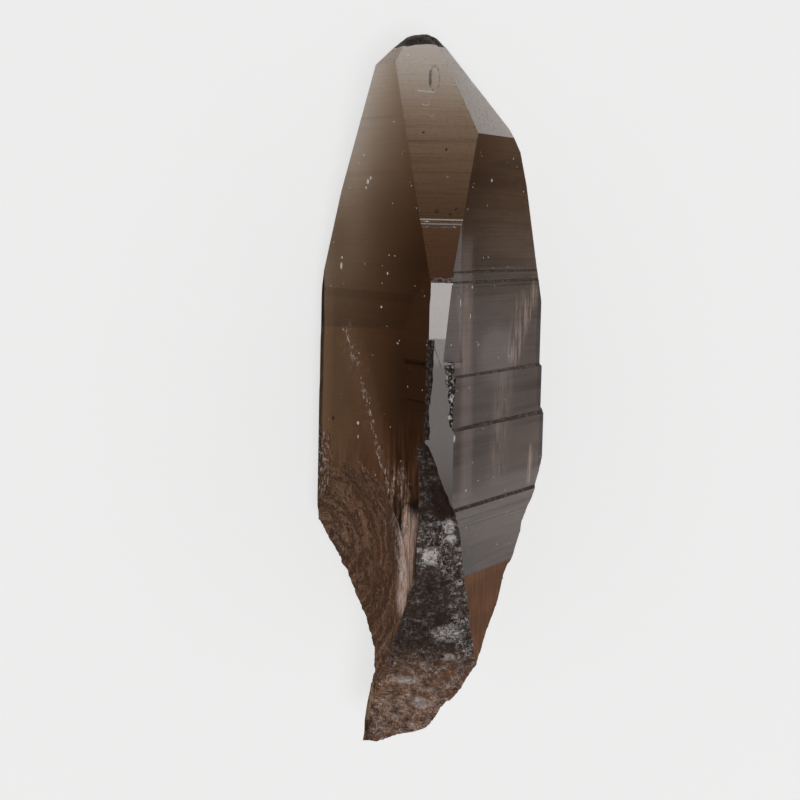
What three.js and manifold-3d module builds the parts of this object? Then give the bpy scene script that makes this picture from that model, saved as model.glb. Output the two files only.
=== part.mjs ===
// A smoky quartz crystal: one loose point, broken off its rock, lying on a broad prism face.
// Millimetres, +Z up. The long axis runs along +Y with the tip towards +Y. The origin is
// under the middle of the crystal, on the surface that it lies on.

import * as THREE from "three";
import { mergeVertices } from "three/addons/utils/BufferGeometryUtils.js";
import Module from "manifold-3d";

const wasm = await Module();
wasm.setup();

// Driving sizes. Places along the crystal are fractions of its length from the broken end.
const LENGTH = 120.5; // broken end to tip, before the breaks at both ends
const BROAD = 13; // long axis to each of the two broad prism faces that look up
const AXIS = 19; // long axis to the prism face underneath
const NARROW_TOP = 23.2; // long axis to the narrow prism face that looks up
const NARROW_SIDE = 20.6; // long axis to the narrow prism faces at the two sides
const LEDGE = 0.3; // rise of a large growth ledge
const COARSE_CELL = 1.7; // cell of the broken surfaces underneath
const FINE_CELL = 0.95; // cell of the broken surfaces that show from above

// Turn about the long axis, in degrees from straight up towards +X.
const TOP = 0;
const RIGHT = 60;
const RIGHT_SIDE = 90;
const LOWER_RIGHT = 120;
const UNDER = 180;
const LOWER_LEFT = -120;
const LEFT_SIDE = -90;
const LEFT = -60;

// Faces that close the tip, by turn, distance from the long axis, the place where they have
// that distance, and their angle to the long axis in degrees.
const TIP_FACES = [
  [RIGHT, BROAD, 0.855, 28.5],
  [LEFT, BROAD, 0.949, 28],
  [UNDER, AXIS, 0.579, 26],
  [RIGHT_SIDE, 12.6, 0.861, 42],
  [RIGHT_SIDE, 14, 0.838, 31],
  [RIGHT_SIDE, 15.7, 0.786, 14.9],
  [RIGHT_SIDE, 18.8, 0.649, 10.8],
  [LEFT_SIDE, 10.4, 0.953, 47.7],
  [LEFT_SIDE, 16.4, 0.774, 14.6],
  [LEFT_SIDE, 19.1, 0.664, 11.6],
  [LEFT_SIDE, 19.6, 0.627, 6.7],
];
const STEEP_TOP = { leaves: 0.6435, lean: 16.1 };

// Growth ledges of a face: the place of each, its rise towards the broken end and the run
// of its riser.
const RIGHT_LEDGES = [
  [0.672, LEDGE / 2, 0.3],
  [0.659, LEDGE / 2, 0.3],
  [0.534, LEDGE, 0.4],
  [0.464, LEDGE, 0.5],
  [0.356, LEDGE, 0.5],
];
const LEFT_LEDGES = [
  [0.64, LEDGE / 3, 1.5],
  [0.575, LEDGE / 3, 1.5],
  [0.5, LEDGE / 3, 1.5],
];
const LOWER_RIGHT_LEDGES = [
  [0.534, 1.5 * LEDGE, 0.5],
  [0.47, 2.5 * LEDGE, 0.6],
];
const STEEP_LEDGES = [
  [0.858, LEDGE / 3, 0.3],
  [0.741, LEDGE / 3, 0.3],
  [0.734, LEDGE / 3, 0.3],
  [0.664, LEDGE / 2, 0.3],
];

const REACH = 200; // size of a block that cuts everything beyond a face
const LONG = new THREE.Vector3(0, 1, 0);
const UP = new THREE.Vector3(0, 0, 1);

// Unit vector that leaves the long axis at a turn and leans towards the tip.
function outward(turn, lean = 0) {
  const t = THREE.MathUtils.degToRad(turn);
  const l = THREE.MathUtils.degToRad(lean);
  return new THREE.Vector3(
    Math.sin(t) * Math.cos(l),
    Math.sin(l),
    Math.cos(t) * Math.cos(l),
  );
}

// Point at a place along the crystal, at a turn and a distance out from the long axis.
function onFace(turn, distance, place) {
  const point = outward(turn).multiplyScalar(distance);
  return point.add(new THREE.Vector3(0, place * LENGTH, AXIS));
}

// Point at a place along the crystal, off the middle by x and above the long axis by height.
function byAxis(x, place, height) {
  return new THREE.Vector3(x, place * LENGTH, AXIS + height);
}

// Smooth repeatable noise between -1 and 1.
function noise(x, y, seed) {
  const corner = (i, j) => {
    const s = Math.sin(i * 127.1 + j * 311.7 + seed * 74.7) * 43758.5453;
    return (s - Math.floor(s)) * 2 - 1;
  };
  const i = Math.floor(x);
  const j = Math.floor(y);
  const a = THREE.MathUtils.smoothstep(x, i, i + 1);
  const b = THREE.MathUtils.smoothstep(y, j, j + 1);
  const low = THREE.MathUtils.lerp(corner(i, j), corner(i + 1, j), a);
  const high = THREE.MathUtils.lerp(corner(i, j + 1), corner(i + 1, j + 1), a);
  return THREE.MathUtils.lerp(low, high, b);
}

// Jagged relief of broken quartz: lumps of a size in mm, with half-size ones on them.
function hackle(u, v, size, height, seed) {
  const lumps = noise(u / size, v / size, seed);
  const chips = noise((2 * u) / size, (2 * v) / size, seed + 1);
  return height * (0.65 * lumps + 0.35 * chips);
}

// Closed solid of a geometry.
function solid(geometry) {
  const plain = geometry.clone();
  plain.deleteAttribute("normal");
  plain.deleteAttribute("uv");
  const merged = mergeVertices(plain, 1e-4);
  return new wasm.Manifold(
    new wasm.Mesh({
      numProp: 3,
      vertProperties: new Float32Array(merged.attributes.position.array),
      triVerts: new Uint32Array(merged.index.array),
    }),
  );
}

// Matrix that puts a cutter at a point, with its z outward and its y nearest to `along`.
function facing(point, out, along) {
  const z = out.clone().normalize();
  const x = new THREE.Vector3().crossVectors(along, z).normalize();
  const y = new THREE.Vector3().crossVectors(z, x);
  return new THREE.Matrix4().makeBasis(x, y, z).setPosition(point);
}

// Everything beyond a flat face.
function beyondFace(point, out) {
  const box = new THREE.BoxGeometry(REACH, REACH, REACH);
  box.translate(0, 0, REACH / 2);
  box.applyMatrix4(facing(point, out, LONG));
  return solid(box);
}

// Everything beyond a face that rises in ledges towards the broken end. The ledges' places
// are measured from the point's own place.
function beyondLedges(point, out, ledges) {
  const profile = new THREE.Shape();
  profile.moveTo(REACH, 0);
  let level = 0;
  for (const [place, rise, run] of ledges) {
    const y = place * LENGTH - point.y;
    profile.lineTo(y, level);
    level += rise;
    profile.lineTo(y - run, level);
  }
  profile.lineTo(-REACH, level);
  profile.lineTo(-REACH, REACH);
  profile.lineTo(REACH, REACH);
  const block = new THREE.ExtrudeGeometry(profile, { depth: REACH, bevelEnabled: false });
  block.translate(0, 0, -REACH / 2);
  block.applyMatrix4(new THREE.Matrix4().makeBasis(LONG, UP, new THREE.Vector3(1, 0, 0)));
  block.applyMatrix4(facing(point, out, LONG));
  return solid(block);
}

// Everything beyond a broken surface: a block whose near face has relief(u, v), u across
// and v along.
function beyondBreak({ point, out, along = LONG, across, length, cell, relief }) {
  const columns = Math.round(across / cell);
  const rows = Math.round(length / cell);
  const block = new THREE.BoxGeometry(across, length, REACH, columns, rows, 1);
  block.translate(0, 0, REACH / 2);
  const p = block.attributes.position;
  for (let i = 0; i < p.count; i++) {
    if (p.getZ(i) < REACH / 2) p.setZ(i, relief(p.getX(i), p.getY(i)));
  }
  block.applyMatrix4(facing(point, out, along));
  return solid(block);
}

// Jagged break that looks up: it runs down from the narrow top face to the broken end, with
// a groove along its upper part, whose floor is level, and curved ripples below.
function topBreak() {
  const groove = (u, v) => {
    const wall = 0.375 * (24.4 - v);
    const rightWall = THREE.MathUtils.smoothstep(wall - u, -0.5, 0.7);
    return Math.max(0.286 * v - 1.9, 0) * rightWall * THREE.MathUtils.smoothstep(-v, -30, -25);
  };
  const shoulder = (u, v) => {
    const rise = THREE.MathUtils.smoothstep(-u, -2, 4) * THREE.MathUtils.smoothstep(v, -14, 3);
    return 2 * rise * THREE.MathUtils.smoothstep(-v, -26, -17);
  };
  const ripple = (u, v) => {
    const radius = Math.hypot(u + 9, v - 3);
    return 0.3 * Math.sin((2 * Math.PI * radius) / 3.1) * THREE.MathUtils.smoothstep(-v, -6, 6);
  };
  return beyondBreak({
    point: byAxis(0, 0.224, 18),
    out: new THREE.Vector3(-0.075, -0.337, 1),
    across: 30,
    length: 64,
    cell: FINE_CELL,
    relief: (u, v) => {
      return hackle(u, v, 2.6, 0.7, 1) + ripple(u, v) + shoulder(u, v) - groove(u, v);
    },
  });
}

// Shallow fibrous hollow that takes the lower part of the broad left face away.
function leftBreak() {
  const hollow = (u, v) => 2.4 * (1 - ((u + 2.3) / 16) ** 2 - (v / 18) ** 2);
  const fibres = (u, v) => {
    const radius = Math.hypot(u + 12, v - 2);
    const turn = Math.atan2(v - 2, u + 12);
    return 0.45 * noise(radius / 1.1, turn * 3, 5);
  };
  return beyondBreak({
    point: onFace(LEFT, BROAD, 0.232),
    out: outward(LEFT),
    across: 36,
    length: 40,
    cell: FINE_CELL * 1.2,
    relief: (u, v) => Math.min(fibres(u, v) - hollow(u, v), 1),
  });
}

// Deep scoop under the lower left edge.
function lowerLeftBreak() {
  const scoop = (u, v) => (v > 0 ? 0.44 : 0.6) * (Math.hypot(v, 2) - 2) + u ** 2 / 90;
  return beyondBreak({
    point: byAxis(-9.5, 0.116, 9.8),
    out: new THREE.Vector3(-0.75, -0.3, -0.6),
    across: 60,
    length: 80,
    cell: COARSE_CELL,
    relief: (u, v) => scoop(u, v) + hackle(u, v, 4, 0.8, 11),
  });
}

// Steep break that takes the lower right edge off.
function lowerRightBreak() {
  return beyondBreak({
    point: byAxis(13.4, 0.243, 1.7),
    out: new THREE.Vector3(0.926, -0.368, 0),
    across: 70,
    length: 110,
    cell: COARSE_CELL,
    relief: (u, v) => hackle(u, v, 5, 0.8, 21),
  });
}

// Slanting break from the lower right edge to the broken end.
function endRightBreak() {
  return beyondBreak({
    point: byAxis(2.8, 0.056, 11.2),
    out: new THREE.Vector3(0.814, -0.52, -0.26),
    across: 80,
    length: 90,
    cell: COARSE_CELL,
    relief: (u, v) => hackle(u, v, 4, 0.8, 25),
  });
}

// Break that lifts the underside towards the broken end.
function underBreak() {
  return beyondBreak({
    point: byAxis(-4, 0.133, -15),
    out: new THREE.Vector3(0, -0.6, -0.8),
    across: 50,
    length: 60,
    cell: COARSE_CELL,
    relief: (u, v) => hackle(u, v, 5, 1.2, 31),
  });
}

// Blunt broken end.
function endBreak() {
  return beyondBreak({
    point: byAxis(-8, 0.0025, 5),
    out: new THREE.Vector3(0.35, -1, 0),
    along: UP,
    across: 24,
    length: 24,
    cell: FINE_CELL,
    relief: (u, v) => hackle(u, v, 2, 0.4, 41),
  });
}

// Rounded chip at the tip.
function tipBreak() {
  const dome = (u, v) => Math.max(-(u ** 2) / 9 - v ** 2 / 13, -2.6);
  return beyondBreak({
    point: byAxis(-3.6, 0.9925, 6.5),
    out: LONG,
    along: UP,
    across: 30,
    length: 30,
    cell: FINE_CELL,
    relief: (u, v) => dome(u, v) + hackle(u, v, 1.6, 0.35, 51),
  });
}

// Bevel along an edge of the narrow top face, between two points of that face.
function edgeBreak(from, to, turn, length, height, seed) {
  const along = from.clone().sub(to).normalize();
  const out = outward(turn);
  out.addScaledVector(along, -out.dot(along));
  return beyondBreak({
    point: to.clone().addScaledVector(along, length / 2),
    out,
    along,
    across: 18,
    length,
    cell: FINE_CELL,
    relief: (u, v) => hackle(u, v, 1.5, height, seed),
  });
}

// Point of the narrow top face.
function onTop(x, place) {
  return byAxis(x, place, NARROW_TOP);
}

// The whole crystal: a block, less all that lies beyond its faces and its breaks.
function crystal() {
  const block = new THREE.BoxGeometry(4 * BROAD, LENGTH, 4 * BROAD);
  let body = solid(block.translate(0, LENGTH / 2, AXIS));
  const cut = (block) => {
    body = body.subtract(block);
  };

  cut(beyondFace(onFace(UNDER, AXIS, 0.5), outward(UNDER)));
  cut(beyondFace(onFace(TOP, NARROW_TOP, 0.5), outward(TOP)));
  cut(beyondLedges(onFace(LEFT, BROAD, 0), outward(LEFT), LEFT_LEDGES));
  cut(beyondLedges(onFace(RIGHT, BROAD - LEDGE / 4, 0), outward(RIGHT), RIGHT_LEDGES));
  cut(beyondFace(onFace(LOWER_LEFT, NARROW_SIDE, 0.5), outward(LOWER_LEFT)));
  const lowerRight = onFace(LOWER_RIGHT, NARROW_SIDE - LEDGE, 0);
  cut(beyondLedges(lowerRight, outward(LOWER_RIGHT), LOWER_RIGHT_LEDGES));

  for (const [turn, distance, leaves, lean] of TIP_FACES) {
    cut(beyondFace(onFace(turn, distance, leaves), outward(turn, lean)));
  }
  const steep = onFace(TOP, NARROW_TOP, STEEP_TOP.leaves);
  cut(beyondLedges(steep, outward(TOP, STEEP_TOP.lean), STEEP_LEDGES));

  cut(edgeBreak(onTop(1.6, 0.645), onTop(0.6, 0.553), 47, 12.3, 0, 61));
  cut(edgeBreak(onTop(0.6, 0.548), onTop(1.9, 0.466), 30, 10, 0.4, 62));
  cut(edgeBreak(onTop(-1.05, 0.582), onTop(-1.42, 0.449), -24, 16, 0.25, 63));

  cut(topBreak());
  cut(leftBreak());
  cut(lowerLeftBreak());
  cut(lowerRightBreak());
  cut(endRightBreak());
  cut(underBreak());
  cut(endBreak());
  cut(tipBreak());
  return body;
}

// Geometry of a solid.
function geometryOf(body) {
  const { vertProperties, triVerts } = body.getMesh();
  const geometry = new THREE.BufferGeometry();
  geometry.setAttribute("position", new THREE.BufferAttribute(vertProperties, 3));
  geometry.setIndex(new THREE.BufferAttribute(triVerts, 1));
  return geometry;
}

const smoke = new THREE.MeshStandardMaterial({
  color: 0x5b4637,
  roughness: 0.06,
  metalness: 0,
  flatShading: true,
});

const mesh = new THREE.Mesh(geometryOf(crystal()), smoke);
mesh.name = "crystal";

// The origin goes under the middle of the box that holds the crystal.
const box = new THREE.Box3().setFromObject(mesh);
const middle = box.getCenter(new THREE.Vector3());
mesh.position.set(-middle.x, -middle.y, -box.min.z);

const part = new THREE.Group();
part.add(mesh);

export default part;
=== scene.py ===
"""A smoky quartz crystal that lies on a pale floor, seen from above.

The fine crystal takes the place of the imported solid. Its flat faces stay where they are, its
broken surfaces get a finer relief, and its edges get a little wear. Lengths are in metres.
Places in the shader are in millimetres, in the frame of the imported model.
"""

import math

import bmesh
import bpy
from bpy.props import FloatProperty, FloatVectorProperty, PointerProperty
from mathutils import Euler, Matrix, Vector, noise


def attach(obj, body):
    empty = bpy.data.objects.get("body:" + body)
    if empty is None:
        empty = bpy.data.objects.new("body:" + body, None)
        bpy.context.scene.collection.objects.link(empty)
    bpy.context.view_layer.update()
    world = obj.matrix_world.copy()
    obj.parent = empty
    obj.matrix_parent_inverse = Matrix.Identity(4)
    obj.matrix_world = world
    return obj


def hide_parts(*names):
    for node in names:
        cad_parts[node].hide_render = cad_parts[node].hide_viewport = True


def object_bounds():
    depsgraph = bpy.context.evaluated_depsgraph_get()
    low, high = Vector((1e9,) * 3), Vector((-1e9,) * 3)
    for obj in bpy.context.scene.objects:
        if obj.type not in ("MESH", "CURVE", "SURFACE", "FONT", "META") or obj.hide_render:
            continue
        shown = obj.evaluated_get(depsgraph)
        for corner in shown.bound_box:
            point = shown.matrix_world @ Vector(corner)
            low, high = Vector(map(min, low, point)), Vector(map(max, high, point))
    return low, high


bl_info = {
    "name": "Smoky Quartz Crystal",
    "version": (1, 0, 0),
    "blender": (4, 5, 0),
    "location": "3D View > Sidebar > Crystal",
    "description": "Builds a broken-off point of smoky quartz and the stage it is seen on",
    "category": "Object",
}

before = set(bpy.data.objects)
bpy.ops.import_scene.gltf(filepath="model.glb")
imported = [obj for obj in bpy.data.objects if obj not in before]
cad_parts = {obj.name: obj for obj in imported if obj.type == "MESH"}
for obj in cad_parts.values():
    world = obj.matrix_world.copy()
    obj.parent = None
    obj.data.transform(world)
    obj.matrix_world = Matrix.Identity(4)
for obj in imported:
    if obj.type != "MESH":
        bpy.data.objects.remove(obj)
CAD_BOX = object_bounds()
NODE = "crystal"
MILLIMETRE = 0.001
COLOUR_RESULT = 2  # place of the colour among a Mix node's outputs

# Turn of each crystal face about the long axis, from straight up towards +X, and its lean
# towards the tip, in degrees.
CRYSTAL_FACES = {
    "top_strip": (0, 0),
    "steep_top": (0, 16.1),
    "right_face": (60, 0),
    "left_face": (-60, 0),
    "right_tip": (60, 28.5),
    "left_tip": (-60, 28),
}
SAME_WAY = math.cos(math.radians(30))
QUARTZ_IOR = 1.544
POWDER_ROUGHNESS = 0.6
POWDER_SHINE = 0.15
MOST_COVER = 0.97
NEXT_TO_NOTHING = 0.0001
RELIEF_STRENGTH = 0.35
RELIEF_DEPTH = 0.05 * MILLIMETRE


def outward(turn, lean=0):
    """Unit vector that leaves the long axis at a turn and leans towards the tip, in degrees."""
    t = math.radians(turn)
    tilt = math.radians(lean)
    return Vector((math.sin(t) * math.cos(tilt), math.sin(tilt), math.cos(t) * math.cos(tilt)))


def across(turn):
    """Unit vector across the face at a turn, square to the long axis."""
    t = math.radians(turn)
    return Vector((math.cos(t), 0, -math.sin(t)))


class CrystalSettings(bpy.types.PropertyGroup):
    """Sizes and colours of the crystal."""

    cell: FloatProperty(
        name="Mesh Cell",
        description="Longest edge of the mesh on the broken surfaces",
        default=0.42 * MILLIMETRE,
        unit="LENGTH",
    )
    hackle_size: FloatProperty(
        name="Hackle Size",
        description="Width of the small steps on the broken surfaces",
        default=1.1 * MILLIMETRE,
        unit="LENGTH",
    )
    hackle_height: FloatProperty(
        name="Hackle Height",
        description="Depth of the small steps on the broken surfaces",
        default=0.22 * MILLIMETRE,
        unit="LENGTH",
    )
    wear: FloatProperty(
        name="Edge Wear",
        description="Width of the worn edge between two crystal faces",
        default=0.09 * MILLIMETRE,
        unit="LENGTH",
    )
    smoke: FloatVectorProperty(
        name="Smoke",
        description="Share of red, green and blue that a unit of smoke lets through",
        default=(0.47, 0.32, 0.16),
        subtype="COLOR",
        size=3,
    )
    smoke_density: FloatProperty(
        name="Smoke Density",
        description="Units of smoke per metre of quartz",
        default=138,
    )
    # The pale colour is bruised and crushed quartz, and painted grey glints on the chip at the
    # tip.
    chalk_and_glints: FloatVectorProperty(
        name="Chalk",
        description="Colour of bruised and crushed quartz",
        default=(0.72, 0.68, 0.66),
        subtype="COLOR",
        size=3,
    )
    # The dark colour is real dirt in pits and chips, and painted shade along the ledges and in the
    # shaded pocket of the top break.
    dirt_and_shade: FloatVectorProperty(
        name="Dirt",
        description="Colour of the dark dirt in ledges, pits and chips",
        default=(0.018, 0.009, 0.0055),
        subtype="COLOR",
        size=3,
    )
    veil: FloatVectorProperty(
        name="Veil",
        description="Colour of the brown veils and fibres in the quartz",
        default=(0.38, 0.165, 0.075),
        subtype="COLOR",
        size=3,
    )
    smoke_green: FloatProperty(
        name="Smoke in Green",
        description="How much faster than red the green fades under a smokier face",
        default=1.29,
    )
    smoke_blue: FloatProperty(
        name="Smoke in Blue",
        description="How much faster than red the blue fades under a smokier face",
        default=1.59,
    )


class StageSettings(bpy.types.PropertyGroup):
    """Sizes and colours of the stage."""

    floor_size: FloatProperty(
        name="Floor Size",
        description="Side of the floor",
        default=4,
        unit="LENGTH",
    )
    floor_gap: FloatProperty(
        name="Floor Gap",
        description="Drop from the face the crystal lies on to the floor",
        default=0.2 * MILLIMETRE,
        unit="LENGTH",
    )
    floor_colour: FloatVectorProperty(
        name="Floor Colour",
        description="Colour of the floor",
        default=(0.5, 0.5, 0.5),
        subtype="COLOR",
        size=3,
    )
    floor_glow: FloatProperty(
        name="Floor Glow",
        description="Light that the pale floor gives off by itself",
        default=0.585,
    )
    lamp_place: FloatVectorProperty(
        name="Lamp Place",
        description="Where the soft lamp hangs",
        default=(0.03, -0.03, 0.75),
        subtype="TRANSLATION",
        size=3,
    )
    lamp_size: FloatProperty(
        name="Lamp Size",
        description="Side of the soft lamp",
        default=0.16,
        unit="LENGTH",
    )
    lamp_power: FloatProperty(
        name="Lamp Power",
        description="Power of the soft lamp, in watts",
        default=1.2,
    )
    lens: FloatProperty(
        name="Lens",
        description="Focal length of the camera, in millimetres",
        default=74.76,
    )
    camera_place: FloatVectorProperty(
        name="Camera Place",
        description="Where the camera stands",
        default=(-0.01403, 0.02779, 0.3049),
        subtype="TRANSLATION",
        size=3,
    )
    camera_turn: FloatVectorProperty(
        name="Camera Turn",
        description="How the camera is turned from looking straight down",
        default=tuple(math.radians(a) for a in (-5.925, -1.507, 1.27)),
        subtype="EULER",
        size=3,
    )


class Value:
    """Output of a shader node. Arithmetic on it adds Math nodes."""

    def __init__(self, graph, node, output=0):
        self.graph = graph
        self.node = node
        self.socket = node.outputs[output] if len(node.outputs) else None

    def output(self, name):
        return Value(self.graph, self.node, name)

    def maths(self, operation, *values):
        return self.graph.add("ShaderNodeMath", {"operation": operation}, *values)

    def __add__(self, other):
        return self.maths("ADD", self, other)

    def __radd__(self, other):
        return self.maths("ADD", other, self)

    def __sub__(self, other):
        return self.maths("SUBTRACT", self, other)

    def __rsub__(self, other):
        return self.maths("SUBTRACT", other, self)

    def __mul__(self, other):
        return self.maths("MULTIPLY", self, other)

    def __rmul__(self, other):
        return self.maths("MULTIPLY", other, self)

    def __truediv__(self, other):
        return self.maths("DIVIDE", self, other)

    def __rtruediv__(self, other):
        return self.maths("DIVIDE", other, self)

    def __pow__(self, other):
        return self.maths("POWER", self, other)

    def __abs__(self):
        return self.maths("ABSOLUTE", self)

    def at_least(self, other):
        return self.maths("MAXIMUM", self, other)

    def at_most(self, other):
        return self.maths("MINIMUM", self, other)

    def rise(self, low, high, start=0, end=1):
        """0 below low and 1 above high, with a smooth rise between them."""
        settings = {"interpolation_type": "SMOOTHSTEP"}
        values = {"Value": self, "From Min": low, "From Max": high, "To Min": start, "To Max": end}
        return self.graph.add("ShaderNodeMapRange", settings, **values)

    def fall(self, low, high):
        """1 below low and 0 above high, with a smooth fall between them."""
        return self.rise(low, high, 1, 0)

    def within(self, low, high, soft):
        """1 between low and high, with soft borders."""
        return self.rise(low - soft, low + soft) * self.fall(high - soft, high + soft)


class Graph:
    """Node tree of a material or world, filled through one method."""

    def __init__(self, owner):
        owner.use_nodes = True
        self.tree = owner.node_tree
        self.tree.nodes.clear()

    def add(self, kind, settings=None, *places, **named):
        """Adds a node. Its settings come first, then its sockets, by place or by name."""
        node = self.tree.nodes.new(kind)
        for name, setting in (settings or {}).items():
            setattr(node, name, setting)
        for place, value in list(enumerate(places)) + list(named.items()):
            socket = node.inputs[place]
            if isinstance(value, Value):
                self.tree.links.new(value.socket, socket)
            else:
                socket.default_value = value
        return Value(self, node)

    def mix(self, factor, first, second):
        """Colour between two colours."""
        settings = {"data_type": "RGBA"}
        node = self.add("ShaderNodeMix", settings).node
        colours = [s for s in node.inputs if s.type == "RGBA"]
        sockets = [node.inputs[0], *colours]
        for socket, value in zip(sockets, (factor, first, second)):
            if isinstance(value, Value):
                self.tree.links.new(value.socket, socket)
            else:
                socket.default_value = (*value, 1) if hasattr(value, "__len__") else value
        return Value(self, node, COLOUR_RESULT)

    def stretched(self, vector, scale):
        """Vector whose three numbers are each multiplied."""
        return self.add("ShaderNodeVectorMath", {"operation": "MULTIPLY"}, vector, scale)

    def along(self, vector, direction):
        """Length of a vector along a direction."""
        node = self.add("ShaderNodeVectorMath", {"operation": "DOT_PRODUCT"}, vector, direction)
        return node.output("Value")

    def distance(self, vector, point):
        """Distance between two vectors."""
        node = self.add("ShaderNodeVectorMath", {"operation": "DISTANCE"}, vector, point)
        return node.output("Value")

    def noise(self, vector, scale, detail=2, roughness=0.5, flat=False):
        """Smooth noise between 0 and 1, in space or flat."""
        settings = {"noise_dimensions": "2D" if flat else "3D"}
        values = {"Vector": vector, "Scale": scale, "Detail": detail, "Roughness": roughness}
        return self.add("ShaderNodeTexNoise", settings, **values)

    def cells(self, vector, scale):
        """Scatter of cells, each with its own colour and the distance from its middle."""
        return self.add("ShaderNodeTexVoronoi", None, Vector=vector, Scale=scale)

    def attribute(self, name):
        """Number that the mesh carries."""
        return self.add("ShaderNodeAttribute", {"attribute_name": name}).output("Fac")


class Place:
    """Where a point of the crystal lies, in millimetres."""

    def __init__(self, graph):
        self.graph = graph
        spot = graph.add("ShaderNodeTexCoord").output("Object")
        self.vector = graph.stretched(spot, (1 / MILLIMETRE,) * 3)
        split = graph.add("ShaderNodeSeparateXYZ", None, self.vector)
        self.x = split.output("X")
        self.y = split.output("Y")
        self.z = split.output("Z")

    def sheet(self, turn=None):
        """Sheet on the face at a turn, measured from its outer edge, or seen from above."""
        if turn is None:
            return Sheet(self, self.x)
        way = across(turn) if turn < 0 else -across(turn)
        return Sheet(self, self.graph.along(self.vector, way))


class Sheet:
    """Flat coordinates (u, y) on one side of the crystal, in millimetres, and the shapes of
    the marks that are drawn there."""

    def __init__(self, place, u):
        self.graph = place.graph
        self.u = u
        self.y = place.y
        self.vector = self.graph.add("ShaderNodeCombineXYZ", None, u, place.y, 0)

    def reach(self, centre, half_width, half_length):
        """Distance from a centre, 1 on the ellipse of that half width and half length."""
        scale = (1 / half_width, 1 / half_length, 0)
        middle = (centre[0] * scale[0], centre[1] * scale[1], 0)
        return self.graph.distance(self.graph.stretched(self.vector, scale), middle)

    def spot(self, centre, half_width, half_length=None):
        """1 in the middle of a small spot."""
        return self.reach(centre, half_width, half_length or half_width).fall(0.5, 1.1)

    def spots(self, places):
        """Sum of small spots, each with its centre, half width and half length."""
        return sum(self.spot(*place) for place in places)

    def stroke(self, start, end, width):
        """1 along a straight stroke between two places, fading over its width."""
        length = math.dist(start, end)
        du = (end[0] - start[0]) / length
        dy = (end[1] - start[1]) / length
        from_start = start[0] * du + start[1] * dy
        off_start = start[0] * dy - start[1] * du
        along = self.graph.along(self.vector, (du, dy, 0)) - from_start
        off = abs(self.graph.along(self.vector, (dy, -du, 0)) - off_start)
        return along.within(0, length, 0.1 * length) * off.fall(0.3 * width, width)

    def trail(self, places, width):
        """1 along a chain of strokes."""
        strokes = [self.stroke(a, b, width) for a, b in zip(places, places[1:])]
        trail = strokes[0]
        for stroke in strokes[1:]:
            trail = trail.at_least(stroke)
        return trail

    def grain(self, u_scale, y_scale, detail=2, roughness=0.6):
        """Noise that is stretched by a different amount across and along."""
        stretched = self.graph.stretched(self.vector, (u_scale, y_scale, 0))
        return self.graph.noise(stretched, 1, detail, roughness, flat=True)

    def dust(self, scale=0.8):
        """Scattered specks of dust and tiny bruises."""
        dots = self.graph.cells(self.vector, scale).output("Distance")
        sizes = self.graph.noise(self.vector, 0.7, 0, flat=True).rise(0.45, 0.8)
        return 0.6 * (0.12 * sizes + 0.02 - dots).rise(0, 0.04)

    def glitter(self, scale, share):
        """1 on a random share of small cells."""
        colour = self.graph.cells(self.vector, scale).output("Color")
        pick = self.graph.add("ShaderNodeSeparateColor", None, colour).output("Red")
        return pick.rise(1 - share, 1 - 0.6 * share)


class Finish:
    """How one part of the crystal's surface looks: the share of light that it lets through, from
    its smoke and from painted shading, its cover of dirt and painted shade, chalk and painted
    glints, and brown veils, its roughness and its fine relief."""

    def __init__(self, share=1, dirt_and_shade=0, chalk_and_glints=0, veil=0, rough=0.04, relief=None):
        self.share = share
        self.dirt_and_shade = dirt_and_shade
        self.chalk_and_glints = chalk_and_glints
        self.veil = veil
        self.rough = rough
        self.relief = relief

    def shader(self, graph, settings):
        """Glass under an opaque cover of dirt, chalk and veils, which also carries painted shade
        and glints.
        """
        normal = {}
        if self.relief is not None:
            sizes = {"Strength": RELIEF_STRENGTH, "Distance": RELIEF_DEPTH}
            normal["Normal"] = graph.add("ShaderNodeBump", None, Height=self.relief, **sizes)
        tint = graph.add(
            "ShaderNodeCombineColor",
            None,
            Red=self.share,
            Green=self.share**settings.smoke_green,
            Blue=self.share**settings.smoke_blue,
        )
        glass = graph.add(
            "ShaderNodeBsdfPrincipled",
            None,
            **{"Base Color": tint, "Roughness": self.rough, "Transmission Weight": 1},
            **{"IOR": QUARTZ_IOR},
            **normal,
        )
        pale = self.veil + self.chalk_and_glints
        cover = pale + self.dirt_and_shade + NEXT_TO_NOTHING
        colour = graph.mix(self.veil / (pale + NEXT_TO_NOTHING), settings.chalk_and_glints, settings.veil)
        colour = graph.mix(self.dirt_and_shade / cover, colour, settings.dirt_and_shade)
        opaque_cover = graph.add(
            "ShaderNodeBsdfPrincipled",
            None,
            **{"Base Color": colour, "Roughness": POWDER_ROUGHNESS},
            **{"Specular IOR Level": POWDER_SHINE},
            **normal,
        )
        cover = graph.add("ShaderNodeMath", {"operation": "MINIMUM"}, cover, MOST_COVER)
        return graph.add("ShaderNodeMixShader", None, cover, glass, opaque_cover)


# The finishes. A mark stands at its place (u, y) on its face, in millimetres: u from the outer
# edge of the face, or from the middle of the crystal on a face seen from above, and y along the
# crystal. The numbers before a mark are its strength, 1 for a full cover.


def fine_lines(sheet):
    """Fine growth lines across a face, square to the long axis."""
    return sheet.grain(0.035, 4.5, 3, 0.7)


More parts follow.
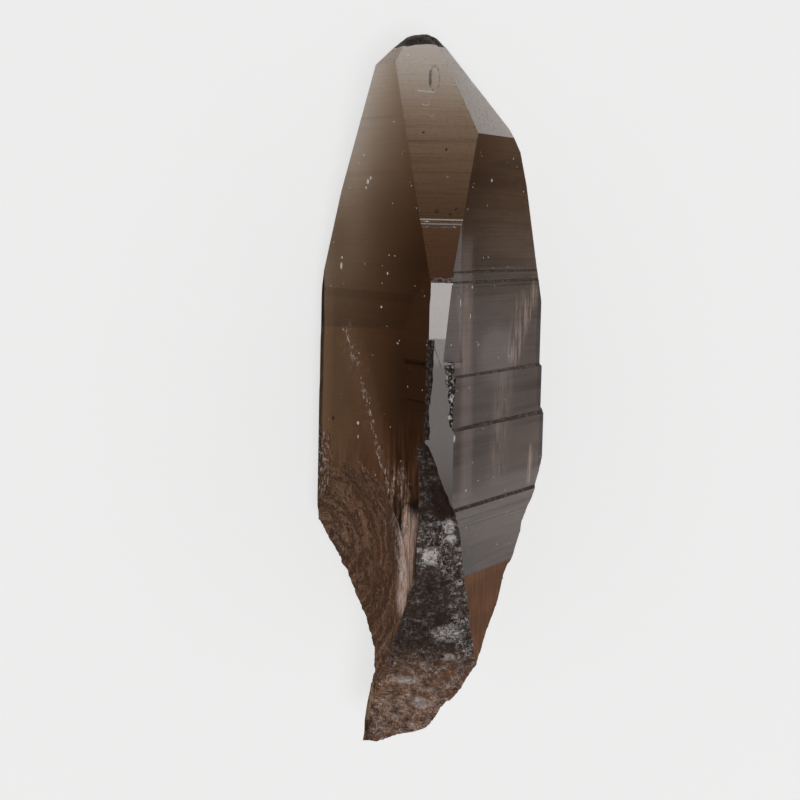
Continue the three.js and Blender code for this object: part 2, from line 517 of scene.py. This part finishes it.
def steep_top(place):
    """Steep face down from the tip: fine lines with painted shade, a ring, curls, pits and two
    ledges in painted shade.
    """
    face = place.sheet()
    y = face.y
    lines = fine_lines(face)
    rough = face.grain(1.6, 1.6, 3, 0.7)
    wide = face.grain(0.02, 0.5, 1).rise(0.5, 0.72)
    strong = (y - 0.03 * face.u).within(41.6, 42.3, 0.15) + y.within(36.8, 37.0, 0.1)
    # Painted shade of the fine growth lines darkens the tint, with darker bands across the face.
    share = 1 - 0.4 * lines.rise(0.45, 0.75) - 0.16 * wide - 0.25 * strong
    share = share * (0.85 + 0.3 * rough)

    # A worn ring with a dark side, then pits, then painted shade along two ledges.
    ring = face.reach((-1.8, 52.1), 0.85, 2.05).within(0.86, 1.08, 0.06)
    dirt_and_shade = 0.6 * ring * rough.rise(0.4, 0.54)
    dirt_and_shade = dirt_and_shade + 0.8 * face.stroke((-2.5, 50.9), (-2.4, 53.4), 0.34) * rough.rise(0.3, 0.5)
    pits = (((0.2, 40.6), 0.28, 0.34), ((-3.5, 43.3), 0.3, 0.3), ((-1.2, 30.7), 0.5, 0.4))
    pits = pits + (((1.9, 31.0), 0.4, 0.35), ((0.9, 30.2), 0.3, 0.2))
    dirt_and_shade = dirt_and_shade + 0.8 * face.spots(pits) * rough.rise(0.4, 0.5)
    dirt_and_shade = dirt_and_shade + 0.12 * rough.fall(0.3, 0.42)
    # Painted shade along two ledges.
    dirt_and_shade = dirt_and_shade + 0.85 * y.within(28.86, 29.12, 0.05) + 0.6 * y.within(19.1, 19.8, 0.08)

    # A scratch under the ring, three curls and the pale borders of the ledges.
    chalk_and_glints = 0.5 * face.stroke((-4.6, 50.05), (-1.9, 49.85), 0.16) + face.dust()
    wander = y + 0.5 * rough
    for centre, size in (((-3.2, 48.0), 0.6), ((-2.2, 46.2), 0.45), ((-2.0, 50.3), 0.6)):
        curl = face.reach(centre, size, 0.6 * size).within(0.8, 1.1, 0.12)
        chalk_and_glints = chalk_and_glints + 0.4 * curl * (wander - centre[1]).fall(0.1, 0.35)
    chalk_and_glints = chalk_and_glints + 0.55 * (y.within(29.22, 29.45, 0.05) + 0.7 * y.within(28.55, 28.75, 0.05))
    chalk_and_glints = chalk_and_glints + 0.3 * y.within(19.85, 20.1, 0.05) + 0.38 * y.rise(44, 59)
    veil = 0.1 * y.within(20, 28.5, 0.1)
    return Finish(share, dirt_and_shade, chalk_and_glints, veil, 0.05, lines + 0.5 * rough)


def top_strip(place):
    """Narrow face along the top: bright frosting, then a dim plate with a crack."""
    face = place.sheet()
    y = face.y
    grain = place.graph.noise(place.vector, 4, 3, 0.75)
    frost = 0.03 + 0.08 * y.rise(-16, -4) + 0.22 * y.rise(5.5, 7.5) + 0.55 * y.rise(10.4, 10.7)
    frost = frost + 0.12 * y.rise(12, 18)
    chalk_and_glints = frost * (0.3 + 1.4 * grain)
    crack = ((-1.35, 9.4), (-0.6, 7.4), (-0.1, 6.1))
    dirt_and_shade = 0.8 * face.trail(crack, 0.16)
    dirt_and_shade = dirt_and_shade + 0.12 * grain.fall(0.3, 0.5) + 0.25 * y.fall(-16, -9)
    return Finish(0.7, dirt_and_shade, chalk_and_glints, rough=0.4, relief=grain)


def edge_chips(place):
    """Chipped edges on both sides of the narrow face along the top."""
    face = place.sheet()
    crumbs = face.grain(2.4, 1.7, 3, 0.75)
    notch = face.u.rise(-0.8, -0.6)
    dirt_and_shade = 0.72 + 0.25 * crumbs.fall(0.45, 0.56)
    chalk_and_glints = (0.1 + 0.55 * notch) * crumbs.rise(0.53, 0.62)
    bruises = face.spots(
        (
            ((0.6, 4.2), 0.5, 1.6),
            ((1.3, -2.2), 0.4, 0.9),
            ((1.7, 1.0), 0.4, 0.8),
            ((-3.1, 0.2), 0.2, 0.4),
            ((-3.3, -4.9), 0.2, 0.4),
        )
    )
    chalk_and_glints = chalk_and_glints + 1.6 * bruises * crumbs.rise(0.42, 0.56)
    return Finish(0.4, dirt_and_shade, chalk_and_glints, rough=0.3, relief=crumbs)


def right_face(place):
    """Broad face on the right: painted shading under its outer edge and towards the tip, painted
    shade along its ledges, and veils.
    """
    face = place.sheet(60)
    u = face.u
    y = face.y
    # Painted shading: the tint darkens towards the outer edge and towards the tip.
    share = (0.13 + 0.87 * u.rise(4, 34)) * (1 - 0.7 * y.rise(22, 36))
    # How strong the painted shade along the ledges is, patch by patch.
    ledge_shade_patches = 0.55 + 0.45 * face.grain(0.9, 0.4, 2, 0.7).rise(0.35, 0.55)
    lines = fine_lines(face)
    # Darker streaks, and painted shade of the fine growth lines.
    dirt_and_shade = 0.2 * face.grain(0.02, 0.32, 1).rise(0.42, 0.66) + 0.1 * lines.fall(0.35, 0.5)
    # Painted shading: darker still near the outer edge.
    dirt_and_shade = dirt_and_shade + 0.22 * u.fall(4, 20) * y.within(-5, 21, 4)
    dirt_and_shade = dirt_and_shade + 0.2 * y.rise(21, 22) * u.fall(31, 34) + 0.12 * y.within(-12, 5, 2)
    # Painted shade along the ledges, as dark lines: place along the crystal, width, where they
    # fade out, and strength.
    for line, width, far, depth in (
        (21.2, 0.3, 43, 0.8),
        (19.6, 0.35, 44, 0.8),
        (18.7, 0.15, 44, 0.3),
        (4.56, 0.42, 27, 0.9),
        (-3.88, 0.5, 40, 0.95),
        (-16.89, 0.5, 40, 0.9),
        (-18.8, 0.2, 40, 0.35),
        (-20.2, 0.15, 40, 0.25),
    ):
        ledge_shade = y.within(line - width, line + 0.08, 0.08) * u.fall(far - 10, far)
        dirt_and_shade = dirt_and_shade + depth * ledge_shade * ledge_shade_patches

    # Veils of fine strands, one upright by the ridge and four slanting ones.
    strands = face.grain(1.1, 0.13, 3, 0.7).rise(0.36, 0.68)
    veil = 0.14 * u.within(28.5, 32.5, 1.2) * y.within(-16, 26, 3)
    veil = veil + strands * (
        0.4 * face.stroke((3.5, 18.8), (12.5, 5.2), 3.0)
        + 0.22 * face.stroke((9, 17.5), (14.5, 6.5), 2.6)
        + 0.5 * face.stroke((4.6, -9.5), (5.7, -16.2), 1.4)
        + 0.2 * face.stroke((16, 4), (19, -14), 5)
        + 0.14 * face.stroke((31, 19), (30, 5), 2.4)
    )
    pale_strands = 0.5 * veil
    # Below a straight border the face is brown, and above it a pale haze lies on the smoke.
    lower = y.fall(-28.9, -28.2)
    veil = 0.6 * veil + lower * (0.34 + 0.12 * strands)
    dirt_and_shade = dirt_and_shade + 0.6 * lower * (1 - 0.3 * strands)
    haze = 0.13 * y.fall(-17, -12) * (1 - lower) + 0.12 * u.rise(32.2, 32.8) * y.rise(5.6, 6)
    haze = haze + 0.07 * face.spot((19, 7), 8, 6)
    chalk_and_glints = haze + pale_strands + face.dust() + 0.6 * face.spots(
        (
            ((28.8, 18.6), 0.3, 0.25),
            ((33, 16.2), 0.18, 0.7),
            ((29.3, 13.9), 0.15, 0.5),
            ((30.4, -14.4), 0.2, 0.35),
            ((35.2, -5.4), 0.5, 0.7),
            ((22, 36), 0.4, 0.3),
        )
    )
    return Finish(share, dirt_and_shade, chalk_and_glints, veil, 0.05, 0.7 * lines)


def left_face(place):
    """Broad face on the left: clear and deep brown, with a chain of curly wisps."""
    face = place.sheet(-60)
    u = face.u
    y = face.y
    lines = fine_lines(face)
    bands = y.within(36.4, 37.2, 0.5) + y.within(45.8, 46.2, 0.25)
    # Painted shading: the tint darkens towards the outer edge, and a little towards the top of the
    # face.
    share = (0.37 + 0.43 * u.rise(3, 15)) * (1 - 0.12 * u.rise(24, 34))
    # Painted shade of the fine growth lines, and two darker bands.
    share = share * (1 - 0.16 * lines.rise(0.45, 0.75) - 0.14 * bands * u.fall(20, 27))
    share = share * (1 - 0.22 * y.within(25, 35, 4) * u.fall(20, 30))
    share = share * (1 - 0.28 * y.within(22, 30, 3) * u.fall(5, 12))

    # A chain of wisps that wanders down the face, with a faint veil round it.
    crumbs = face.grain(1.7, 1.1, 4, 0.75)
    chain = ((8.2, 10.5), (10.6, 7.6), (13.2, 4.6), (15.6, 0.8), (17.9, -3.6), (21, -9), (25, -16))
    wander = face.grain(0.42, 0.42, 4, 0.8)
    shifted = Sheet(place, u + 7 * (wander - 0.5))
    thread = shifted.trail(chain, 0.55)
    near = face.trail(chain, 5)
    chalk_and_glints = 0.36 * thread * crumbs.rise(0.46, 0.6) + 0.1 * near * crumbs.rise(0.57, 0.66)
    fibres = face.grain(1.1, 0.14, 3, 0.7).rise(0.4, 0.66)
    veil = 0.06 * near + 0.09 * u.within(1.2, 4.6, 0.8) * y.fall(8, 22)
    veil = veil + 0.05 * y.fall(4, 14) * u.within(6, 24, 4) + 0.14 * fibres * y.fall(-14, 2)

    # The bumpy lower part of the outer edge, a hole beside it, and bruises.
    rough = (u + 5 * crumbs).fall(6.5, 8.2) * y.fall(-9.5, -6)
    chalk_and_glints = chalk_and_glints + 0.35 * rough * crumbs.rise(0.54, 0.64)
    dirt_and_shade = 0.7 * rough * crumbs.fall(0.42, 0.56) + 0.95 * face.spot((5.3, -5.4), 0.5)
    dirt_and_shade = dirt_and_shade + 0.35 * y.fall(-17, -8) * fibres.fall(0.2, 0.6)
    chalk_and_glints = chalk_and_glints + face.dust() + 0.75 * face.spots(
        (
            ((15.2, 35.5), 0.45, 0.5),
            ((16.1, 36.1), 0.3, 0.35),
            ((14.6, 34.5), 0.25, 0.3),
            ((6.7, 21.2), 0.4, 0.7),
            ((6.9, 22.6), 0.25, 0.3),
            ((14.0, -5.3), 0.45, 0.35),
            ((14.1, -7.6), 0.2, 0.35),
            ((20.6, 14.8), 0.3, 0.25),
            ((22.2, 20.4), 0.3, 0.25),
        )
    )
    # Strands and a tan strip along the ridge between the breaks.
    strands = face.stroke((27.5, -11), (29.5, -27), 4.6)
    chalk_and_glints = chalk_and_glints + 0.3 * strands * fibres * crumbs.rise(0.45, 0.6)
    tan = face.stroke((31.6, -18), (30, -31), 3) * (0.5 + 0.5 * fibres)
    chalk_and_glints = chalk_and_glints + 0.25 * tan
    veil = veil + 0.2 * strands * fibres + 0.5 * tan + 0.03 * y.within(8, 20, 3) * u.rise(12, 20)
    return Finish(share, dirt_and_shade * (1 - tan), chalk_and_glints, veil, 0.04, 0.25 * lines)


def left_break(place):
    """Fibrous hollow break at the left, with strands that sweep round it."""
    face = place.sheet(-60)
    # Distance and direction from the middle that the strands sweep round.
    du = face.u - 4.8
    dy = face.y + 30.8
    radius = (du * du + dy * dy) ** 0.5
    turn = place.graph.add("ShaderNodeMath", {"operation": "ARCTAN2"}, dy, du)
    waves = place.graph.noise(place.vector, 0.22, 3, 0.7)
    swept = (radius * 1.1 + waves * 9, turn * 2.2 + waves * 4)
    sweep = place.graph.add("ShaderNodeCombineXYZ", None, *swept, 0)
    fibres = place.graph.noise(sweep, 1, 4, 0.75, flat=True)
    fine = face.grain(2.4, 0.5, 4, 0.75)
    strands = face.stroke((27.5, -11), (28.5, -30), 4.2)
    tan = face.stroke((31.2, -18), (27.5, -35), 3.4)
    dirt_and_shade = (0.35 + 0.55 * fibres.fall(0.42, 0.56)) * (1 - 0.9 * tan)
    veil = 0.13 + 0.25 * fibres.rise(0.48, 0.66) + 0.35 * tan
    chalk_and_glints = 0.12 * fibres.rise(0.6, 0.74) + 0.5 * strands * fine.rise(0.5, 0.64)
    chalk_and_glints = chalk_and_glints + 0.14 * fine.rise(0.58, 0.7) + tan * (0.12 + 0.35 * fine.rise(0.4, 0.6))
    return Finish(0.5, dirt_and_shade, chalk_and_glints, veil, 0.25, fibres)


def top_break(place):
    """Glittering break that looks up: near black, with a white net on it, and brown lower."""
    flow = place.graph.noise(place.vector, 0.7, 5, 0.75)
    face = Sheet(place, place.x + 4 * (flow - 0.5))
    y = face.y
    net = abs(flow - 0.5).fall(0.0, 0.025)
    crumbs = face.grain(2.6, 1.2, 4, 0.8)
    patches = face.grain(0.6, 0.45, 4, 0.75)
    # Where the white net is dense, and the shaded pocket where there is none, left dark as painted
    # shade.
    upper = face.spot((0.2, -23.3), 5, 5.5)
    right_band = (face.u - 0.14 * (-29 - y)).rise(1.2, 3.2) * y.within(-44, -25, 2)
    lower = y.fall(-49, -40)
    shaded_pocket = face.spot((0.9, -16.2), 2.2, 4.2)
    weight = (0.25 + 0.9 * upper + 0.8 * right_band + 0.35 * lower) * (1 - shaded_pocket)
    weight = weight * (0.3 + 1.4 * patches.rise(0.4, 0.65))
    chalk_and_glints = weight * (0.6 * net + 0.8 * crumbs.rise(0.54, 0.66))
    # White clusters in the upper part and pale clouds in the lower part.
    clusters = (((1.9, -20.1), 1.3, 1.3), ((-1.0, -24.9), 1.6, 1.6), ((2.5, -22.0), 0.8, 0.8))
    chalk_and_glints = chalk_and_glints + 1.2 * face.spots(clusters) * crumbs.rise(0.36, 0.5)
    chalk_and_glints = chalk_and_glints + 0.7 * face.spot((2.4, -38.8), 3, 1.8) * crumbs.rise(0.4, 0.6)
    low_clouds = (((-3.7, -47.8), 2.2, 1.0), ((-1.5, -52.1), 2, 1.2), ((2.7, -43.2), 1.2, 0.8))
    chalk_and_glints = chalk_and_glints + 0.5 * face.spots(low_clouds) + 0.25 * lower * crumbs.rise(0.54, 0.64)
    chalk_and_glints = chalk_and_glints.at_most(1) * (0.4 + 0.6 * crumbs.rise(0.4, 0.56))
    cloud = flow.rise(0.42, 0.62)
    veil = lower * (0.15 + 0.45 * cloud) + 0.03
    dirt_and_shade = 0.93 - 0.75 * lower * patches.rise(0.4, 0.54) * crumbs.rise(0.36, 0.5)
    return Finish(0.5, dirt_and_shade * (1 - chalk_and_glints), chalk_and_glints, veil, 0.3, crumbs)


def under_break(place):
    """Break on the underside: clear, with a few brown clouds and white nets."""
    flow = place.graph.noise(place.vector, 0.8, 3, 0.7)
    net = abs(flow - 0.5).fall(0.0, 0.02)
    return Finish(0.85, 0, 0.3 * net, 0.25 * flow.rise(0.45, 0.65), 0.2, flow)


def tip_facet(place, frost, veil):
    """Frosted facet beside the tip, with tiny dots."""
    grain = place.graph.noise(place.vector, 1.6, 5, 0.8)
    face = place.sheet(60)
    dots = face.glitter(3.4, 0.1)
    specks = face.spots(
        (
            ((21.0, 53.7), 0.4, 0.6),
            ((20.7, 52.0), 0.4, 0.8),
            ((20.4, 50.4), 0.3, 0.5),
            ((20.0, 45.8), 0.25, 0.3),
        )
    )
    chalk_and_glints = frost * (0.1 + 1.8 * grain) + 0.14 * dots + 0.7 * specks * grain.rise(0.4, 0.55)
    return Finish(1, 0.25 * grain.fall(0.36, 0.5), chalk_and_glints, veil, 0.45, grain)


def right_tip(place):
    """Frosted facet to the right of the tip."""
    return tip_facet(place, 0.3, 0.02)


def left_tip(place):
    """Frosted facet to the left of the tip."""
    return tip_facet(place, 0.12, 0.2)


def tip_chip(place):
    """Black chip at the very tip, with painted grey glints."""
    grain = place.graph.noise(place.vector, 2.4, 4, 0.8)
    # The pale specks in the grain are painted glints.
    return Finish(0.02, 0.96, 0.2 * grain.rise(0.56, 0.66), 0, 0.35, grain)


def worn(place):
    """Rubbed edge between two faces."""
    return Finish(0.8, 0, 0.75 * place.graph.noise(place.vector, 1.3, 2, 0.7).rise(0.5, 0.62))


def ledge(place):
    """Painted shade on the small ledges that cross the faces, with faint veils."""
    crumbs = place.graph.noise(place.vector, 1.1, 3, 0.75)
    # The dark cover is painted shade.
    return Finish(0.35, 0.9 - 0.35 * crumbs.rise(0.46, 0.64), 0, 0.08 * crumbs.rise(0.5, 0.7))


def under(place):
    """Faces that look down, with a dull polish, a little darker where the crystal rests: painted
    contact shade.
    """
    return Finish(1 - 0.2 * (place.z * -1).rise(-0.05, 0), rough=0.34)


def smoky_quartz(settings):
    """See-through smoky quartz, with a finish of its own on each face and break."""
    material = bpy.data.materials.new("smoky_quartz")
    g = Graph(material)
    place = Place(g)
    surface = Finish(0.45, rough=0.08).shader(g, settings)
    for finish in FINISHES:
        on = g.attribute(finish.__name__)
        shader = finish(place).shader(g, settings)
        surface = g.add("ShaderNodeMixShader", None, on, surface, shader)
    smoke = g.add(
        "ShaderNodeVolumeAbsorption",
        None,
        Color=(*settings.smoke, 1),
        Density=settings.smoke_density,
    )
    g.add("ShaderNodeOutputMaterial", None, Surface=surface, Volume=smoke)
    return material


# Each finish covers the mesh faces that carry its name as an attribute.
FINISHES = (
    tip_chip,
    edge_chips,
    worn,
    left_tip,
    right_tip,
    top_strip,
    steep_top,
    top_break,
    left_break,
    right_face,
    left_face,
    ledge,
    under_break,
    under,
)

# Points closer than this are one, faces that meet at less than this angle are one crystal face,
# and faces smaller than this belong to a broken surface.
WELD = 0.001 * MILLIMETRE
FLAT_ANGLE = math.radians(0.4)
FLAT_AREA = 3 * MILLIMETRE**2
WORN_ANGLE = math.radians(8)


def crystal_mesh(settings):
    """Mesh of the fine crystal: flat faces kept, broken surfaces refined, edges worn."""
    mesh = bmesh.new()
    mesh.from_mesh(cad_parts[NODE].data)
    bmesh.ops.remove_doubles(mesh, verts=mesh.verts, dist=WELD)
    bmesh.ops.dissolve_degenerate(mesh, edges=mesh.edges, dist=WELD)
    bmesh.ops.dissolve_limit(
        mesh, angle_limit=FLAT_ANGLE, verts=mesh.verts, edges=mesh.edges
    )
    for finish in FINISHES:
        mesh.faces.layers.float.new(finish.__name__)
    broken = mesh.faces.layers.float.new("broken")
    for face in mesh.faces:
        face[broken] = 0.0 if face.calc_area() > FLAT_AREA else 1.0
    refine(mesh, broken, settings.cell)
    roughen(mesh, broken, settings)
    wear_edges(mesh, broken, settings.wear)
    bmesh.ops.triangulate(mesh, faces=mesh.faces)
    name_faces(mesh, broken)
    return mesh


def refine(mesh, broken, cell):
    """Cuts the long edges of the broken surfaces until none is longer than the cell."""
    for _ in range(3):
        whole = [f for f in mesh.faces if f[broken] and len(f.verts) > 3]
        bmesh.ops.triangulate(mesh, faces=whole)
        edges = [
            e
            for e in mesh.edges
            if e.calc_length() > cell and any(f[broken] for f in e.link_faces)
        ]
        bmesh.ops.subdivide_edges(mesh, edges=edges, cuts=1)
    whole = [f for f in mesh.faces if f[broken] and len(f.verts) > 3]
    bmesh.ops.triangulate(mesh, faces=whole)


def roughen(mesh, broken, settings):
    """Gives the broken surfaces their small steps and ripples."""
    inner = [v for v in mesh.verts if all(f[broken] for f in v.link_faces)]
    for _ in range(2):
        bmesh.ops.smooth_vert(
            mesh, verts=inner, factor=0.4, use_axis_x=True, use_axis_y=True, use_axis_z=True
        )
    mesh.normal_update()
    lows, highs = (Vector(corner) for corner in CAD_BOX)
    moves = []
    for vert in inner:
        depth = step_height(vert.co, settings.hackle_size)
        moves.append(vert.normal * depth * settings.hackle_height)
    for vert, move in zip(inner, moves):
        moved = vert.co + move
        vert.co = Vector(min(max(c, low), high) for c, low, high in zip(moved, lows, highs))


def step_height(point, size):
    """Height between -1 and 1 of small tilted steps with curved ripples on them."""
    spread = point / size
    near, centres = noise.voronoi(spread)
    tilt = noise.cell_vector(centres[0] * 7.3) - Vector((0.5, 0.5, 0.5))
    steps = 1.4 * tilt.dot(spread - centres[0])
    fine = noise.noise(point / (0.35 * size))
    return steps + 0.35 * fine


def wear_edges(mesh, broken, width):
    """Takes the sharpness off the edges between two crystal faces."""
    edges = [
        e
        for e in mesh.edges
        if len(e.link_faces) == 2 and not any(f[broken] for f in e.link_faces)
        and e.calc_face_angle() > WORN_ANGLE
        and min(f.calc_area() for f in e.link_faces) > 4 * FLAT_AREA
    ]
    worn = mesh.faces.layers.float["worn"]
    bevel = bmesh.ops.bevel(
        mesh,
        geom=edges,
        offset=width,
        segments=1,
        profile=0.5,
        affect="EDGES",
        clamp_overlap=True,
    )
    for face in bevel["faces"]:
        face[worn] = 1.0


# Borders between the surfaces, in millimetres: where the tip facets, the chip at the tip and
# the chips along the top begin and end, how high up the breaks reach, and where the ridge
# between the two breaks runs.
TIP_FACETS_FROM = 25
TIP_CHIP_FROM = 54
EDGE_CHIPS_ABOVE = 38.5
EDGE_CHIPS_ALONG = (-5.9, 10.7)
BREAKS_UP_TO = -5
LEFT_BREAK_ABOVE = 8
TOP_BREAK_ABOVE = 24
RIDGE_X = -3.5
RIDGE_BEND_FROM = -29
RIDGE_BEND_LENGTH = 23
RIDGE_SLOPE = 0.26
LOOKS_DOWN = -0.3
FOLD_ANGLE = math.radians(28)


def name_faces(mesh, broken):
    """Marks each face with the one finish that it has, and the edges that stay sharp."""
    layers = {finish.__name__: mesh.faces.layers.float[finish.__name__] for finish in FINISHES}
    ways = {name: outward(*turn) for name, turn in CRYSTAL_FACES.items()}
    for face in mesh.faces:
        face.smooth = bool(face[broken])
        if face[layers["worn"]]:
            continue
        if face[broken]:
            face[layers[break_name(face)]] = 1.0
        elif face.normal.z < LOOKS_DOWN:
            face[layers["under"]] = 1.0
        else:
            nearest = max(ways, key=lambda name: face.normal.dot(ways[name]))
            below_tip = face.calc_center_median().y < TIP_FACETS_FROM * MILLIMETRE
            if nearest == "right_tip" and below_tip:
                nearest = "ledge"
            elif nearest == "left_tip" and below_tip:
                nearest = "left_face"
            if nearest == "ledge" or face.normal.dot(ways[nearest]) > SAME_WAY:
                face[layers[nearest]] = 1.0
    for edge in mesh.edges:
        folded = len(edge.link_faces) == 2 and edge.calc_face_angle(0) > FOLD_ANGLE
        edge.smooth = not folded


def break_name(face):
    """Name of the broken surface that a face belongs to."""
    x, y, z = face.calc_center_median() / MILLIMETRE
    if y > TIP_CHIP_FROM:
        return "tip_chip"
    if z > EDGE_CHIPS_ABOVE and EDGE_CHIPS_ALONG[0] < y < EDGE_CHIPS_ALONG[1]:
        return "edge_chips"
    # The ridge bends left towards the broken end.
    bend = min(max(RIDGE_BEND_FROM - y, 0), RIDGE_BEND_LENGTH)
    left_of_ridge = x < RIDGE_X - RIDGE_SLOPE * bend
    looks_left = face.normal.dot(outward(-60)) > 0.2
    if y < BREAKS_UP_TO and left_of_ridge and z > LEFT_BREAK_ABOVE and looks_left:
        return "left_break"
    if y < BREAKS_UP_TO and not left_of_ridge and z > TOP_BREAK_ABOVE and face.normal.z > 0:
        return "top_break"
    return "under_break"


class QUARTZ_OT_crystal(bpy.types.Operator):
    """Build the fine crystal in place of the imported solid"""

    bl_idname = "quartz.crystal"
    bl_label = "Crystal"

    def execute(self, context):
        settings = context.scene.quartz_crystal
        fine = crystal_mesh(settings)
        data = bpy.data.meshes.new("smoky_quartz_crystal")
        fine.to_mesh(data)
        fine.free()
        piece = bpy.data.objects.new("smoky_quartz_crystal", data)
        context.scene.collection.objects.link(piece)
        data.materials.append(smoky_quartz(settings))
        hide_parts(NODE)
        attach(piece, "root")
        return {"FINISHED"}


def floor_material(settings):
    """Plain pale floor that glows a little, so that it shows evenly through the crystal."""
    material = bpy.data.materials.new("pale_floor")
    g = Graph(material)
    surface = g.add(
        "ShaderNodeBsdfPrincipled",
        None,
        **{
            "Base Color": (*settings.floor_colour, 1),
            "Roughness": 0.9,
            "Specular IOR Level": 0.1,
            "Emission Color": (1, 0.995, 0.99, 1),
            "Emission Strength": settings.floor_glow,
        },
    )
    g.add("ShaderNodeOutputMaterial", None, Surface=surface)
    return material


def room(scene):
    """Surroundings that only the crystal reflects: pale at the horizon and dim overhead, and
    dark below it, with one pale card beyond the tip and one on the right."""
    world = bpy.data.worlds.new("studio")
    scene.world = world
    g = Graph(world)
    way = g.add("ShaderNodeTexCoord").output("Generated")
    split = g.add("ShaderNodeSeparateXYZ", None, way)
    x = split.output("X")
    y = split.output("Y")
    z = split.output("Z")
    above = g.mix(z.rise(0.3, 0.8), (0.85, 0.85, 0.86), (0.12, 0.12, 0.12))
    right_card = 0.6 * x.rise(0.2, 0.5) * y.rise(-0.205, -0.195) * y.fall(-0.055, 0.015)
    cards = right_card + 0.9 * y.rise(0.2, 0.3)
    below = g.mix(cards, (0.02, 0.019, 0.018), (0.95, 0.93, 0.93))
    colour = g.mix(z.rise(-0.06, 0), below, above)
    background = g.add("ShaderNodeBackground", None, colour, 1)
    g.add("ShaderNodeOutputWorld", None, background)


def soft_lamp(scene, settings):
    """Square soft lamp above the crystal, which it faces."""
    data = bpy.data.lights.new("overhead", "AREA")
    data.size = settings.lamp_size
    data.energy = settings.lamp_power
    lamp = bpy.data.objects.new("overhead", data)
    lamp.location = settings.lamp_place
    lamp.rotation_euler = (-Vector(settings.lamp_place)).to_track_quat("-Z", "Y").to_euler()
    lamp.visible_camera = False
    scene.collection.objects.link(lamp)


class QUARTZ_OT_stage(bpy.types.Operator):
    """Build the floor, the lights and the camera"""

    bl_idname = "quartz.stage"
    bl_label = "Stage"

    def execute(self, context):
        scene = context.scene
        settings = scene.quartz_stage
        half = settings.floor_size / 2
        corners = [(-half, -half), (half, -half), (half, half), (-half, half)]
        data = bpy.data.meshes.new("floor")
        data.from_pydata([(x, y, -settings.floor_gap) for x, y in corners], [], [(0, 1, 2, 3)])
        data.materials.append(floor_material(settings))
        floor = bpy.data.objects.new("floor", data)
        floor.visible_glossy = False
        scene.collection.objects.link(floor)

        room(scene)
        soft_lamp(scene, settings)

        camera = bpy.data.objects.new("camera", bpy.data.cameras.new("camera"))
        camera.data.lens = settings.lens
        camera.location = settings.camera_place
        camera.rotation_euler = Euler(settings.camera_turn)
        camera.data.clip_start = 0.01
        scene.collection.objects.link(camera)
        scene.camera = camera

        scene.view_settings.view_transform = "Standard"
        scene.cycles.max_bounces = 24
        scene.cycles.transmission_bounces = 24
        scene.cycles.glossy_bounces = 12
        scene.cycles.sample_clamp_indirect = 8
        scene.cycles.blur_glossy = 0.2
        return {"FINISHED"}


class QUARTZ_PT_panel(bpy.types.Panel):
    """Lists the steps that build the crystal"""

    bl_label = "Smoky Quartz Crystal"
    bl_space_type = "VIEW_3D"
    bl_region_type = "UI"
    bl_category = "Crystal"

    def draw(self, context):
        for operator in OPERATORS:
            self.layout.operator(operator.bl_idname)
        for group in (context.scene.quartz_crystal, context.scene.quartz_stage):
            for name in group.bl_rna.properties.keys():
                if name not in ("rna_type", "name"):
                    self.layout.prop(group, name)


OPERATORS = (QUARTZ_OT_stage, QUARTZ_OT_crystal)
CLASSES = (CrystalSettings, StageSettings, *OPERATORS, QUARTZ_PT_panel)


def register():
    for item in CLASSES:
        bpy.utils.register_class(item)
    bpy.types.Scene.quartz_crystal = PointerProperty(type=CrystalSettings)
    bpy.types.Scene.quartz_stage = PointerProperty(type=StageSettings)


def unregister():
    del bpy.types.Scene.quartz_stage
    del bpy.types.Scene.quartz_crystal
    for item in reversed(CLASSES):
        bpy.utils.unregister_class(item)


def main():
    register()
    bpy.ops.quartz.stage()
    bpy.ops.quartz.crystal()


if __name__ == "__main__":
    main()
